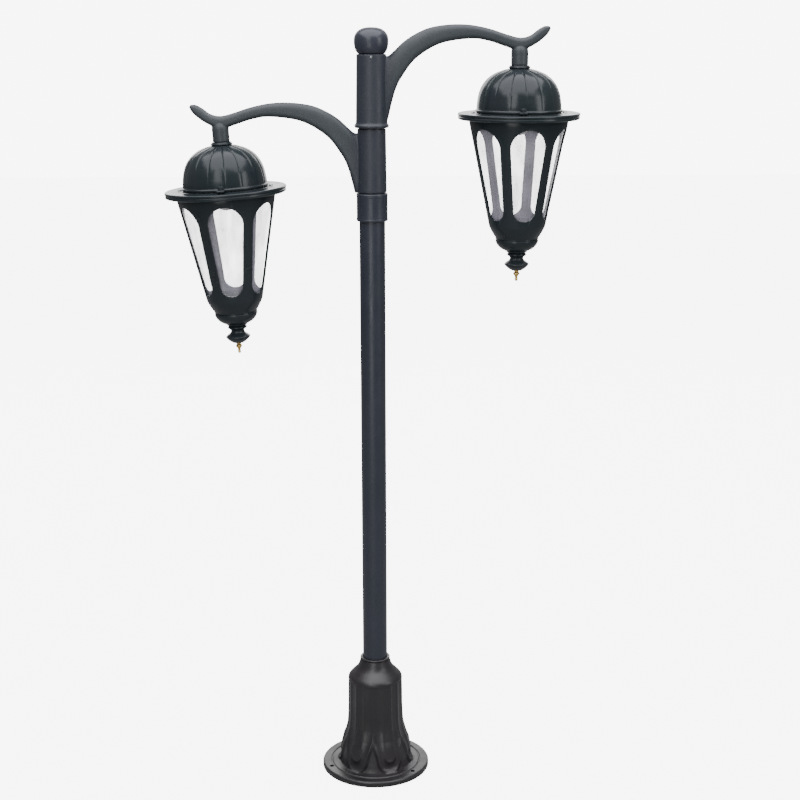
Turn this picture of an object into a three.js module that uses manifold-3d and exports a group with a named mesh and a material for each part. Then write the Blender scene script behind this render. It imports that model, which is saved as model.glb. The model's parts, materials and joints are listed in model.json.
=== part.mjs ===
// A two-armed garden lamp post: a cast base, a steel tube, two cast arms whose sleeves stack on the
// tube, and two hanging lanterns. Millimetres, +Z up, origin on the ground under the tube's axis.
// The arms lie in the XZ plane: the upper one reaches along +X, the lower one along -X.
import * as THREE from "three";
import { mergeVertices } from "three/addons/utils/BufferGeometryUtils.js";
import Module from "manifold-3d";

const { MathUtils } = THREE;
const wasm = await Module();
wasm.setup();

// ---- driving dimensions -------------------------------------------------------------------------

const GAP = 0.3; // clearance between pieces that touch
const FULL_TURN = 2 * Math.PI;

// Facets round a circle, for bores on the tube, wide rounds and narrow ones.
const BORE_SIDES = 28;
const WIDE_SIDES = 24;
const SMALL_SIDES = 14;

const TUBE_RADIUS = 30; // standard 60 mm tube
const TUBE_WALL = 3;
const TUBE_FOOT = 151; // the tube stands on a ledge inside the base
const TUBE_TOP = 1759;

const FLANGE_RADIUS = 133.2;
const FLANGE_HEIGHT = 15;
const BASE_HEIGHT = 288;
const BASE_LEDGE = 150;
const FLUTES = 18;
const FLUTE_DEPTH = 3;
const FLUTE_TOP = 236;
const LOBES = 6;
const LOBE_TURN = -0.092; // the cast pattern is turned a little about the tube
const LOBE_HALF_WIDTH = 28.5; // each lobe is a U: this wide above its round tip
const LOBE_TIP = 17;
const LOBE_SPREAD_TOP = 118; // where the lobes meet
const ANCHORS = 3;
const ANCHOR_CIRCLE = 118;
const ANCHOR_HOLE = 5.5; // radius, for an M10 anchor
const ANCHOR_TURN = -0.68;

const BASE_SCREW_HEIGHT = 262;
const COLLAR_SCREW_HEIGHT = 1401;
const SLEEVE_SCREW_DROP = 6; // below the sleeve's top

const COLLAR_FOOT = 1381;
const COLLAR_TOP = 1445;
const COLLAR_RADIUS = 36.5;
const LOWER_SLEEVE = { foot: 1447, top: 1592.5, footRadius: 34.2, topRadius: 32.8, bead: 0 };
const UPPER_SLEEVE = { foot: 1594.5, top: 1760, footRadius: 36.3, topRadius: 34, bead: 40 };
const BEAD_HEIGHT = 14;
const BALL_RADIUS = 39.5;
const BALL_CENTRE = 1789;
const BALL_RISE = 30.5; // the ball is flatter over its middle than a sphere
const BALL_FALL = 39;
const BALL_SQUARENESS = 2.4;
const SPIGOT_FOOT = 1730;

const ARM_REACH = 337.5; // tube axis to the upper lantern's axis
const ARM_THICKNESS = 30;
const STEM_RADIUS = 19.5;
const STEM_HEIGHT = 40;
const LOWER_REACH = 345;
const LOWER_LEAN = 3.3; // degrees: the lower lantern hangs a little off plumb
const UPPER_HANG = 1734; // foot of the upper arm's stem
const LOWER_HANG = 1564;
const LOWER_DROP = 173; // the lower arm's blade under the upper one's
const HANG_HEIGHT = 106; // lantern brim to the foot of the arm's stem

const DOME_HEIGHT = 98;
const DOME_WALL = 4;
const GORES = 16;
const BRIM_RADIUS = 140.5;
const BRIM_THICKNESS = 15;
const BRIM_HOLE = 88;
const CAGE_TOP_RADIUS = 115;
const CAGE_FOOT_RADIUS = 67;
const CAGE_TOP = -(BRIM_THICKNESS + GAP);
const CAGE_CONE_FOOT = -252;
const CAGE_FOOT = -290;
const CAGE_WALL = 5;
const WINDOWS = 6;
const WINDOW_TOP = -33;
const WINDOW_FOOT = -244;
const POST_WIDTH = 25;
const LINER_WALL = 2;
const LINER_TOP = -26;
const LINER_FOOT = -250;
const BULB_RADIUS = 30;
const BULB_CENTRE = -22;
const BULB_CAP_RADIUS = 13.2; // E27 screw cap
const HINGE_OUT = 108; // lantern axis to the hinge pin
const HINGE_UP = 7; // brim to the hinge pin
const PIN_RADIUS = 2.4;
const LATCH_OUT = 109;
const STUD_RADIUS = 4;

// ---- materials ----------------------------------------------------------------------------------

function material(color, roughness, metalness, opacity = 1) {
  return new THREE.MeshStandardMaterial({ color, roughness, metalness, opacity, transparent: opacity < 1 });
}

const POST_PAINT = material(0x2f3438, 0.45, 0.4);
const ARM_PAINT = material(0x34414a, 0.5, 0.4);
const BASE_PAINT = material(0x2a2826, 0.5, 0.4);
const LANTERN_PAINT = material(0x16211f, 0.3, 0.4);
const BRASS = material(0xb98a3c, 0.3, 1);
const STEEL = material(0x8d9297, 0.35, 1);
const RUBBER = material(0x151515, 0.8, 0);
const FROSTED = material(0xdcdde6, 0.6, 0, 0.7);
const LAMP_GLASS = material(0xf4f1e8, 0.3, 0);
const CERAMIC = material(0xe9e6de, 0.4, 0);

// ---- shapes -------------------------------------------------------------------------------------

function polar(radius, angle) {
  return [radius * Math.cos(angle), radius * Math.sin(angle)];
}

// A profile of [radius, height] points turned about Z. One that starts off the axis closes on itself.
function turned(profile, sides = WIDE_SIDES) {
  const points = profile.map(([radius, height]) => new THREE.Vector2(radius, height));
  if (profile[0][0] > 0) points.push(points[0].clone());
  return new THREE.LatheGeometry(points, sides).rotateX(Math.PI / 2);
}

function rod(radius, foot, top, sides = SMALL_SIDES) {
  return turned([[0, foot], [radius, foot], [radius, top], [0, top]], sides);
}

function tube(bore, radius, foot, top, sides = WIDE_SIDES) {
  return turned([[bore, foot], [radius, foot], [radius, top], [bore, top]], sides);
}

function box(width, depth, height, x, y, z) {
  return new THREE.BoxGeometry(width, depth, height).translate(x, y, z);
}

// A rod through [x, y, z] along the unit axis, from one distance along it to another.
function rodAlong(axis, radius, from, to, place, sides = 10) {
  const turn = new THREE.Quaternion().setFromUnitVectors(new THREE.Vector3(0, 0, 1), axis);
  return rod(radius, from, to, sides).applyQuaternion(turn).translate(...place);
}

function smooth(points, steps) {
  const curve = new THREE.SplineCurve(points.map(([x, y]) => new THREE.Vector2(x, y)));
  return curve.getPoints(steps).map((point) => [point.x, point.y]);
}

// ---- joining and cutting ------------------------------------------------------------------------

function solidOf(geometry) {
  const bare = geometry.clone();
  bare.deleteAttribute("normal");
  bare.deleteAttribute("uv");
  const merged = mergeVertices(bare, 1e-4);
  const vertProperties = new Float32Array(merged.attributes.position.array);
  const triVerts = new Uint32Array(merged.index.array);
  const made = new wasm.Manifold(new wasm.Mesh({ numProp: 3, vertProperties, triVerts }));
  if (made.volume() > 0) return made;
  return new wasm.Manifold(new wasm.Mesh({ numProp: 3, vertProperties, triVerts: triVerts.reverse() }));
}

function geometryOf(solid) {
  const mesh = solid.getMesh();
  const geometry = new THREE.BufferGeometry();
  geometry.setAttribute("position", new THREE.BufferAttribute(new Float32Array(mesh.vertProperties), 3));
  geometry.setIndex(new THREE.BufferAttribute(new Uint32Array(mesh.triVerts), 1));
  return geometry;
}

function join(...shapes) {
  return geometryOf(shapes.map(solidOf).reduce((whole, next) => whole.add(next)));
}

function cut(body, ...tools) {
  return geometryOf(tools.map(solidOf).reduce((rest, tool) => rest.subtract(tool), solidOf(body)));
}

function mesh(name, geometry, paint) {
  const shape = geometryOf(solidOf(geometry));
  shape.computeVertexNormals();
  const made = new THREE.Mesh(shape, paint);
  made.name = name;
  return made;
}

// ---- base ---------------------------------------------------------------------------------------

// Outlines of the bell as [height, radius] pairs: over the middle of a lobe, and between two lobes.
const LOBE_LINE = [
  [15, 95], [17, 94], [24, 90.5], [40, 89], [58, 87.5], [75, 84], [91, 78], [LOBE_SPREAD_TOP, 71],
  [160, 68.5], [201, 68], [FLUTE_TOP, 67],
];
const VALLEY_LINE = [
  [15, 92], [17, 88.5], [24, 86.5], [40, 82], [58, 78], [75, 76], [91, 74], [LOBE_SPREAD_TOP, 71],
  [160, 68.5], [201, 68], [FLUTE_TOP, 67],
];
const BELL_HEIGHTS = [17, 20, 24, 32, 40, 49, 58, 66, 75, 83, 91, 104, 118, 139, 160, 201, 235.5];

function radiusOn(line, height) {
  const upper = Math.max(1, line.findIndex(([top]) => top >= height));
  const [[z0, r0], [z1, r1]] = [line[upper - 1], line[upper]];
  return r0 + ((r1 - r0) * (height - z0)) / (z1 - z0);
}

function baseProfile() {
  return [
    [0, 0], [FLANGE_RADIUS - 2, 0], [FLANGE_RADIUS, 2], [FLANGE_RADIUS, FLANGE_HEIGHT - 3],
    [FLANGE_RADIUS - 3, FLANGE_HEIGHT], [101, FLANGE_HEIGHT],
    ...BELL_HEIGHTS.map((height) => [radiusOn(LOBE_LINE, height), height]),
    [67, FLUTE_TOP], [63, 247], [47.5, 263], [39.5, 277], [36, BASE_HEIGHT], [0, BASE_HEIGHT],
  ];
}

// How far a point at this angle from a lobe's middle lies under the lobe's outline.
function reliefAt(height, angle) {
  if (height < BELL_HEIGHTS[0] || height >= FLUTE_TOP) return 0;
  const outline = radiusOn(LOBE_LINE, height);
  const spread = MathUtils.smoothstep(height, 40, LOBE_SPREAD_TOP);
  const halfWidth = MathUtils.lerp(LOBE_HALF_WIDTH, (outline * Math.PI) / LOBES, spread);
  const belowTip = Math.max(0, LOBE_TIP + LOBE_HALF_WIDTH - height);
  const reach = Math.hypot(angle * outline, belowTip) / halfWidth;
  const valley = MathUtils.smoothstep(reach, 0.95, 1.25) * (outline - radiusOn(VALLEY_LINE, height));
  const flute = reach < 1 ? FLUTE_DEPTH * Math.cos((FLUTES / 2) * angle) ** 2 : 0;
  return valley + flute;
}

function fluted(geometry) {
  const place = geometry.attributes.position;
  const sector = FULL_TURN / LOBES;
  for (let i = 0; i < place.count; i += 1) {
    const [x, y, z] = [place.getX(i), place.getY(i), place.getZ(i)];
    const angle = Math.atan2(y, x);
    const radius = Math.hypot(x, y);
    const fromLobe = Math.abs(angle - sector * Math.round(angle / sector));
    const scale = radius > 0 ? 1 - reliefAt(z, fromLobe) / radius : 1;
    place.setXY(i, x * scale, y * scale);
  }
  return geometry.rotateZ(LOBE_TURN);
}

function anchorHole(index) {
  const [x, y] = polar(ANCHOR_CIRCLE, ANCHOR_TURN + (index * FULL_TURN) / ANCHORS);
  return rod(ANCHOR_HOLE, -1, FLANGE_HEIGHT + 5).translate(x, y, 0);
}

function baseHollow() {
  const cableWay = TUBE_RADIUS - TUBE_WALL;
  return turned([
    [0, -1], [78, -1], [78, 12], [72, 40], [72, 58], [66, 90], [61, 120], [59, BASE_LEDGE - 8],
    [cableWay, BASE_LEDGE - 8], [cableWay, BASE_LEDGE], [TUBE_RADIUS + GAP, BASE_LEDGE],
    [TUBE_RADIUS + GAP, BASE_HEIGHT + 1], [0, BASE_HEIGHT + 1],
  ], BORE_SIDES);
}

function baseCasting() {
  const bell = fluted(turned(baseProfile(), 4 * FLUTES));
  const holes = [...Array(ANCHORS).keys()].map(anchorHole);
  return cut(bell, baseHollow(), ...holes, ...screwHoles(BEHIND, 60, BASE_SCREW_HEIGHT));
}

function neckRing() {
  return turned([
    [TUBE_RADIUS + GAP, BASE_HEIGHT + GAP], [35.5, BASE_HEIGHT + GAP], [37, BASE_HEIGHT + 2],
    [36, BASE_HEIGHT + 5], [33, BASE_HEIGHT + 6], [TUBE_RADIUS + GAP, BASE_HEIGHT + 6],
  ], BORE_SIDES);
}

// ---- set screws ---------------------------------------------------------------------------------

// Directions about the tube, from +X.
const FRONT_AND_BACK = [-Math.PI / 2, Math.PI / 2];
const BEHIND = [Math.PI / 3, (2 * Math.PI) / 3];
const BEHIND_TURNED = BEHIND.map((angle) => angle - Math.PI); // for an arm that is then turned round

function radialRod(angle, radius, from, to, height) {
  const outward = new THREE.Vector3(Math.cos(angle), Math.sin(angle), 0);
  return rodAlong(outward, radius, from, to, [0, 0, height]);
}

function screwHoles(directions, to, height) {
  return directions.map((angle) => radialRod(angle, 3, TUBE_RADIUS, to, height));
}

function setScrews(name, directions, outer, height) {
  return directions.map((angle, index) => {
    const screw = radialRod(angle, 2.7, TUBE_RADIUS + GAP, outer, height);
    return mesh(`${name}_${index + 1}`, screw, STEEL);
  });
}

// ---- tube, collar, finial -----------------------------------------------------------------------

function couplingCollar() {
  const bore = TUBE_RADIUS + GAP;
  const body = turned([
    [bore, COLLAR_FOOT], [COLLAR_RADIUS - 1, COLLAR_FOOT], [COLLAR_RADIUS, COLLAR_FOOT + 1.5],
    [COLLAR_RADIUS, COLLAR_TOP - 1.5], [COLLAR_RADIUS - 1, COLLAR_TOP], [bore, COLLAR_TOP],
  ], BORE_SIDES);
  return cut(body, ...screwHoles(BEHIND, 40, COLLAR_SCREW_HEIGHT));
}

// A point of the ball's outline, from its neck up to its crown.
function ballPoint(neck, share) {
  const start = (neck - BALL_CENTRE) / BALL_FALL;
  const rise = Math.sin(MathUtils.lerp(Math.asin(start), Math.PI / 2, share));
  const radius = BALL_RADIUS * Math.max(0, 1 - Math.abs(rise) ** BALL_SQUARENESS) ** (1 / BALL_SQUARENESS);
  return [share < 1 ? radius : 0, BALL_CENTRE + rise * (rise < 0 ? BALL_FALL : BALL_RISE)];
}

function ballFinial() {
  const neck = UPPER_SLEEVE.top + GAP;
  const steps = 9;
  const ball = [...Array(steps + 1).keys()].map((step) => ballPoint(neck, step / steps));
  const spigot = TUBE_RADIUS - TUBE_WALL - GAP;
  return turned([[0, SPIGOT_FOOT], [spigot, SPIGOT_FOOT], [spigot, neck], ...ball]);
}

function terminalBracket() {
  const leg = box(40, 2.5, 60, 0, 45, BASE_LEDGE - 38.5);
  const foot = box(40, 16, 2.5, 0, 38.25, BASE_LEDGE - 9.8);
  return join(leg, foot);
}

// ---- arms ---------------------------------------------------------------------------------------

// The blade's top and bottom edges as [reach, height] pairs, measured from the stem's axis height.
const BLADE_TOP = [
  [22, 1755], [38, 1756], [50, 1765.5], [75, 1788.5], [104, 1806.5], [136, 1819], [180, 1825], [225, 1824],
  [270, 1815], [310, 1802], [338, 1795.5], [360, 1800], [378, 1813], [392, 1820.5], [401, 1821],
];
const BLADE_FOOT = [
  [30, 1590], [38, 1615], [46, 1648], [56, 1682], [71, 1711], [102, 1750], [156, 1782], [224, 1793],
  [266, 1788], [306, 1775], [338, 1766], [366, 1777], [386, 1790], [400, 1803], [406, 1813],
];
const BLADE_STEPS = 22;
const BLADE_SIDES = 10;

function edgeCurve(points, reachScale, drop) {
  return new THREE.CatmullRomCurve3(
    points.map(([x, z]) => new THREE.Vector3(x * reachScale, 0, z - drop)), false, "centripetal",
  );
}

// A bar with rounded corners whose height runs from one edge curve to the other.
function blade(reachScale, drop) {
  const top = edgeCurve(BLADE_TOP, reachScale, drop);
  const foot = edgeCurve(BLADE_FOOT, reachScale, drop);
  const bar = new THREE.CylinderGeometry(1, 1, 1, BLADE_SIDES, BLADE_STEPS);
  const place = bar.attributes.position;
  for (let i = 0; i < place.count; i += 1) {
    const along = Math.min(1, Math.max(0, 0.5 - place.getY(i)));
    const upper = top.getPoint(along);
    const lower = foot.getPoint(along);
    const height = squared(place.getZ(i));
    const side = squared(place.getX(i)) * bladeHalfWidth(along);
    const point = lower.lerp(upper, 0.5 + 0.5 * height);
    place.setXYZ(i, point.x, side, point.z);
  }
  return bar;
}

// Pushes a circle's points out towards a square, which rounds the bar's corners.
function squared(value) {
  return Math.sign(value) * Math.abs(value) ** 0.7;
}

function bladeHalfWidth(along) {
  const taper = Math.max(0, along - 0.75) / 0.25;
  return (ARM_THICKNESS / 2) * (1 - 0.35 * taper);
}

function sleeveProfile({ foot, top, footRadius, topRadius, bead }) {
  const bore = TUBE_RADIUS + GAP;
  if (!bead) return [[bore, foot], [footRadius, foot], [topRadius, top], [bore, top]];
  return [
    [bore, foot], [bead - 2, foot], [bead, foot + 3], [bead, foot + 6], [footRadius, foot + BEAD_HEIGHT],
    [topRadius, top], [bore, top],
  ];
}

// Drawn reaching along +X, with its sleeve on the tube and its stem square to the lantern's axis.
function armCasting(sleeve, screws, reach, hangHeight, drop, lean) {
  const stem = rod(STEM_RADIUS, 0, STEM_HEIGHT).rotateY(lean).translate(reach, 0, hangHeight);
  const socket = rod(7.2, -1, 16, 10).rotateY(lean).translate(reach, 0, hangHeight);
  const bore = rod(TUBE_RADIUS + GAP, sleeve.foot - 1, sleeve.top + 1, BORE_SIDES);
  const fillet = turned([[0, 0], [STEM_RADIUS, 0], [STEM_RADIUS + 4, 16], [0, 22]], SMALL_SIDES);
  const collar = fillet.translate(reach, 0, 1750 - drop);
  const whole = join(blade(reach / ARM_REACH, drop), turned(sleeveProfile(sleeve), BORE_SIDES), stem, collar);
  const underSleeve = box(200, 200, 60, 0, 0, sleeve.foot - 30);
  return cut(whole, bore, socket, underSleeve, ...screwHoles(screws, 60, sleeve.top - SLEEVE_SCREW_DROP));
}

// ---- lantern: what stays with the arm -----------------------------------------------------------

function domeOutline(steps) {
  const shoulder = [[92, 44], [84.5, 61], [72, 76.5], [56, 88], [38, 95], [26, DOME_HEIGHT]];
  return smooth([[97, 6], [97, 14], [95.5, 28], ...shoulder], steps);
}

function gored(geometry) {
  const place = geometry.attributes.position;
  for (let i = 0; i < place.count; i += 1) {
    const [x, y, z] = [place.getX(i), place.getY(i), place.getZ(i)];
    const radius = Math.hypot(x, y);
    const groove = z > 8 && radius > 24 ? 2.2 : 0;
    const ridge = Math.abs(Math.sin((GORES / 2) * Math.atan2(y, x)));
    const scale = radius > 0 ? 1 - (groove * (1 - ridge)) / radius : 1;
    place.setXY(i, x * scale, y * scale);
  }
  return geometry;
}

function dome() {
  const outside = gored(turned([[0, 2.5], [99.5, 2.5], [99.5, 6], ...domeOutline(6), [0, DOME_HEIGHT]], 2 * GORES));
  const inner = domeOutline(4).map(([radius, height]) => [radius - DOME_WALL - 2, height - DOME_WALL]);
  const hollow = turned([[0, 0], [91, 0], ...inner, [0, DOME_HEIGHT - DOME_WALL]]);
  const bore = rod(7, DOME_HEIGHT - 10, DOME_HEIGHT + 1, 10);
  const ear = box(18, 20, 5, 0, -(LATCH_OUT - 2), 5);
  const earHole = rod(3.1, 0, 10, 8).translate(0, -LATCH_OUT, 0);
  return cut(join(outside, ear), hollow, bore, earHole);
}

function collarRing() {
  const foot = DOME_HEIGHT + GAP;
  const top = HANG_HEIGHT - GAP;
  return turned([[6.8, foot], [23, foot], [25, foot + 2.5], [24, top], [6.8, top]], 20);
}

function lampHolder() {
  const shell = [[0, 30], [14, 30], [14, 8], [17, 8], [19.5, 12], [19.5, 40], [15, 50], [15, 60], [0, 60]];
  return cut(turned(shell, SMALL_SIDES), rod(6.8, 50, 61, 10));
}

function bulb() {
  const globe = [...Array(6).keys()].map((step) => {
    const angle = -Math.PI / 2 + (step * 0.8 * Math.PI) / 6;
    return [BULB_RADIUS * Math.cos(angle), BULB_CENTRE + BULB_RADIUS * Math.sin(angle)];
  });
  globe[0][0] = 0;
  return turned([...globe, [BULB_CAP_RADIUS, 7], [BULB_CAP_RADIUS, 27], [4, 29.5], [0, 29.5]], SMALL_SIDES);
}

function hingeBracket() {
  const ears = [-1, 1].map((side) => join(
    rodAlong(new THREE.Vector3(1, 0, 0), 5.2, -5, 5, [side * 14.5, HINGE_OUT, HINGE_UP]),
    box(10, 7.5, 9, side * 14.5, HINGE_OUT - 3.75, HINGE_UP),
  ));
  const bridge = box(39, 2.4, 9, 0, 101.1, HINGE_UP);
  return cut(join(bridge, ...ears), pinRod(PIN_RADIUS + GAP, 30));
}

function pinRod(radius, half) {
  return rodAlong(new THREE.Vector3(1, 0, 0), radius, -half, half, [0, HINGE_OUT, HINGE_UP]);
}

// ---- lantern: what swings down ------------------------------------------------------------------

function hingeLeaf() {
  const barrel = pinRod(5.2, 9);
  const neck = box(18, 8, 6, 0, HINGE_OUT + 4, 3.3);
  const foot = box(18, 20, 2.4, 0, HINGE_OUT + 8, GAP + 1.2);
  return cut(join(barrel, neck, foot), pinRod(PIN_RADIUS + GAP, 30));
}

function brim() {
  const ring = turned([
    [BRIM_HOLE, -BRIM_THICKNESS], [BRIM_RADIUS - 3, -BRIM_THICKNESS], [BRIM_RADIUS - 1, -BRIM_THICKNESS + 2],
    [BRIM_RADIUS - 1, -7], [BRIM_RADIUS, -6], [BRIM_RADIUS, -1.5], [BRIM_RADIUS - 1.5, 0], [BRIM_HOLE, 0],
  ], 36);
  const latchHole = rod(3.6, -BRIM_THICKNESS - 1, 1, 8).translate(0, -LATCH_OUT, 0);
  return cut(ring, latchHole, ...cageScrewPlaces().map(([x, y]) => rod(2.6, -20, 1, 8).translate(x, y, 0)));
}

function cageScrewPlaces() {
  return [0, Math.PI].map((angle) => polar(105.5, angle));
}

function coneRadius(height) {
  const share = (height - CAGE_TOP) / (CAGE_CONE_FOOT - CAGE_TOP);
  return CAGE_TOP_RADIUS + (CAGE_FOOT_RADIUS - CAGE_TOP_RADIUS) * share;
}

// Half the width of a window at a height: what two posts of even width leave on the cone.
function windowHalfWidth(height) {
  const radius = coneRadius(height);
  return radius * Math.sin(Math.PI / WINDOWS - POST_WIDTH / 2 / radius);
}

function windowCutter(turn) {
  const upperHalf = windowHalfWidth(WINDOW_TOP - 40);
  const lowerHalf = windowHalfWidth(WINDOW_FOOT + 28);
  const outline = new THREE.Shape();
  outline.absarc(0, WINDOW_TOP - upperHalf, upperHalf, 0, Math.PI, false);
  outline.absarc(0, WINDOW_FOOT + lowerHalf, lowerHalf, Math.PI, FULL_TURN, false);
  outline.closePath();
  const slab = new THREE.ExtrudeGeometry(outline, { depth: 90, bevelEnabled: false, curveSegments: 4 });
  return slab.rotateX(Math.PI / 2).translate(0, -40, 0).rotateZ(turn);
}

function cage(windowTurn) {
  const outside = [
    [0, CAGE_TOP], [CAGE_TOP_RADIUS, CAGE_TOP], [CAGE_FOOT_RADIUS, CAGE_CONE_FOOT], [64.5, -262], [58, -275],
    [50, CAGE_FOOT], [0, CAGE_FOOT],
  ];
  const hollow = [
    [0, CAGE_TOP + 1], [CAGE_TOP_RADIUS - CAGE_WALL, CAGE_TOP + 1], [CAGE_TOP_RADIUS - CAGE_WALL, CAGE_TOP],
    [CAGE_FOOT_RADIUS - CAGE_WALL, CAGE_CONE_FOOT], [58, -258], [48, -CAGE_WALL + CAGE_FOOT + 14], [0, -281],
  ];
  const cutters = [...Array(WINDOWS).keys()].map((n) => windowCutter(windowTurn + (n * FULL_TURN) / WINDOWS));
  const studHole = rod(STUD_RADIUS + GAP, CAGE_FOOT - 1, -270, 10);
  const shell = cut(turned(outside), turned(hollow));
  const lugs = cageScrewPlaces().map(([x, y]) => box(14, 14, 9, x, y, CAGE_TOP - 4.5));
  return cut(join(shell, ...lugs), studHole, ...cutters, ...cageScrewHoles());
}

function cageScrewHoles() {
  return cageScrewPlaces().map(([x, y]) => rod(2.6, -30, -14, 8).translate(x, y, 0));
}

function diffuser() {
  const outer = (height) => coneRadius(height) - CAGE_WALL - 2 * GAP;
  return turned([
    [outer(LINER_FOOT) - LINER_WALL, LINER_FOOT], [outer(LINER_FOOT), LINER_FOOT],
    [outer(LINER_TOP), LINER_TOP], [outer(LINER_TOP) - LINER_WALL, LINER_TOP],
  ]);
}

function bottomCup() {
  const profile = [
    [0, CAGE_FOOT - GAP], [48, CAGE_FOOT - GAP], [49.5, -294], [47, -303], [37.5, -313], [23.5, -322], [0, -322],
  ];
  return cut(turned(profile), rod(STUD_RADIUS + GAP, -323, -289, 10));
}

function finial() {
  const profile = [
    [0, -322 - GAP], [22, -322 - GAP], [22, -329], [16, -332], [15.5, -337], [26, -345], [28.5, -350],
    [26, -354], [19, -360], [12, -365], [0, -365],
  ];
  return cut(turned(profile, SMALL_SIDES), rod(STUD_RADIUS + GAP, -356, -321, 10));
}

function brassTip() {
  const top = -365 - GAP;
  return turned([
    [0, top], [6, top], [5, -368], [7.5, -371], [7.5, -374], [4, -378], [3.2, -384], [3.8, -387], [2.5, -391],
    [0, -391],
  ], 10);
}

function studNut() {
  return cut(rod(9, -280.5, -274.5, 6), rod(STUD_RADIUS + GAP, -282, -273, 10));
}

// Slides a screw's hexagon or round head and shank together, at the brim's underside of the dome.
function latchScrew() {
  const head = rod(7, 7.8, 16);
  const shank = rod(2.6, -9, 9, 8);
  return join(head, shank).translate(0, -LATCH_OUT, 0);
}

function cageScrew([x, y]) {
  return join(rod(5, GAP, 3, 10), rod(2.2, -22, 2, 8)).translate(x, y, 0);
}

// All of one lantern, with its brim's top face at height 0.
function lantern(name, windowTurn) {
  const group = new THREE.Group();
  const add = (piece, geometry, paint) => group.add(mesh(`${name}_${piece}`, geometry, paint));
  add("collar_ring", collarRing(), LANTERN_PAINT);
  add("nipple", tube(4, 6.5, 53, HANG_HEIGHT + 14, 10), STEEL);
  add("lock_nut", cut(rod(12, 86, 93, 6), rod(6.8, 85, 94, 10)), STEEL);
  add("dome", dome(), LANTERN_PAINT);
  add("gasket", tube(89, 97, GAP, 2.2), RUBBER);
  add("lamp_holder", lampHolder(), CERAMIC);
  add("bulb", bulb(), LAMP_GLASS);
  add("hinge_bracket", hingeBracket(), LANTERN_PAINT);
  add("hinge_leaf", hingeLeaf(), LANTERN_PAINT);
  add("hinge_pin", pinRod(PIN_RADIUS, 21), STEEL);
  add("latch_screw", latchScrew(), LANTERN_PAINT);
  add("brim", brim(), LANTERN_PAINT);
  cageScrewPlaces().forEach((place, n) => add(`cage_screw_${n + 1}`, cageScrew(place), STEEL));
  add("cage", cage(windowTurn), LANTERN_PAINT);
  add("diffuser", diffuser(), FROSTED);
  add("bottom_cup", bottomCup(), LANTERN_PAINT);
  add("tie_stud", rod(STUD_RADIUS, -355, -270, 10), STEEL);
  add("stud_nut", studNut(), STEEL);
  add("finial", finial(), LANTERN_PAINT);
  add("brass_tip", brassTip(), BRASS);
  return group;
}

// ---- assembly -----------------------------------------------------------------------------------

function post() {
  const group = new THREE.Group();
  group.add(mesh("base_casting", baseCasting(), BASE_PAINT));
  group.add(mesh("neck_ring", neckRing(), BASE_PAINT));
  group.add(...setScrews("base_screw", BEHIND, 44, BASE_SCREW_HEIGHT));
  const poleTube = tube(TUBE_RADIUS - TUBE_WALL, TUBE_RADIUS, TUBE_FOOT, TUBE_TOP, BORE_SIDES);
  group.add(mesh("pole_tube", poleTube, POST_PAINT));
  group.add(mesh("coupling_collar", couplingCollar(), POST_PAINT));
  group.add(...setScrews("collar_screw", BEHIND, 37, COLLAR_SCREW_HEIGHT));
  group.add(mesh("ball_finial", ballFinial(), POST_PAINT));
  group.add(mesh("terminal_bracket", terminalBracket(), STEEL));
  group.add(mesh("terminal_block", box(36, 14, 22, 0, 45 - 1.25 - GAP - 7, 100), CERAMIC));
  return group;
}

function arms() {
  const group = new THREE.Group();
  const upperArm = armCasting(UPPER_SLEEVE, FRONT_AND_BACK, ARM_REACH, UPPER_HANG, 0, 0);
  const upperScrewHeight = UPPER_SLEEVE.top - SLEEVE_SCREW_DROP;
  group.add(mesh("upper_arm", upperArm, ARM_PAINT));
  group.add(...setScrews("upper_arm_screw", FRONT_AND_BACK, 35, upperScrewHeight));
  const lean = MathUtils.degToRad(LOWER_LEAN);
  const lowerArm = armCasting(LOWER_SLEEVE, BEHIND_TURNED, LOWER_REACH, LOWER_HANG, LOWER_DROP, lean);
  const lowerScrewHeight = LOWER_SLEEVE.top - SLEEVE_SCREW_DROP;
  group.add(mesh("lower_arm", lowerArm.rotateZ(Math.PI), ARM_PAINT));
  group.add(...setScrews("lower_arm_screw", BEHIND, 33.8, lowerScrewHeight));

  const upper = lantern("upper", MathUtils.degToRad(8.3));
  upper.position.set(ARM_REACH, 0, UPPER_HANG - HANG_HEIGHT);
  const lower = lantern("lower", MathUtils.degToRad(1.3));
  lower.rotation.y = -lean;
  const brimShift = HANG_HEIGHT * Math.sin(lean);
  lower.position.set(-LOWER_REACH + brimShift, 0, LOWER_HANG - HANG_HEIGHT * Math.cos(lean));
  group.add(upper, lower);
  return group;
}

const group = new THREE.Group();
group.name = "lamp_post";
group.add(post(), arms());

export default group;
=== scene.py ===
import json
import math

import bmesh
import bpy
from mathutils import Matrix, Vector

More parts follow.
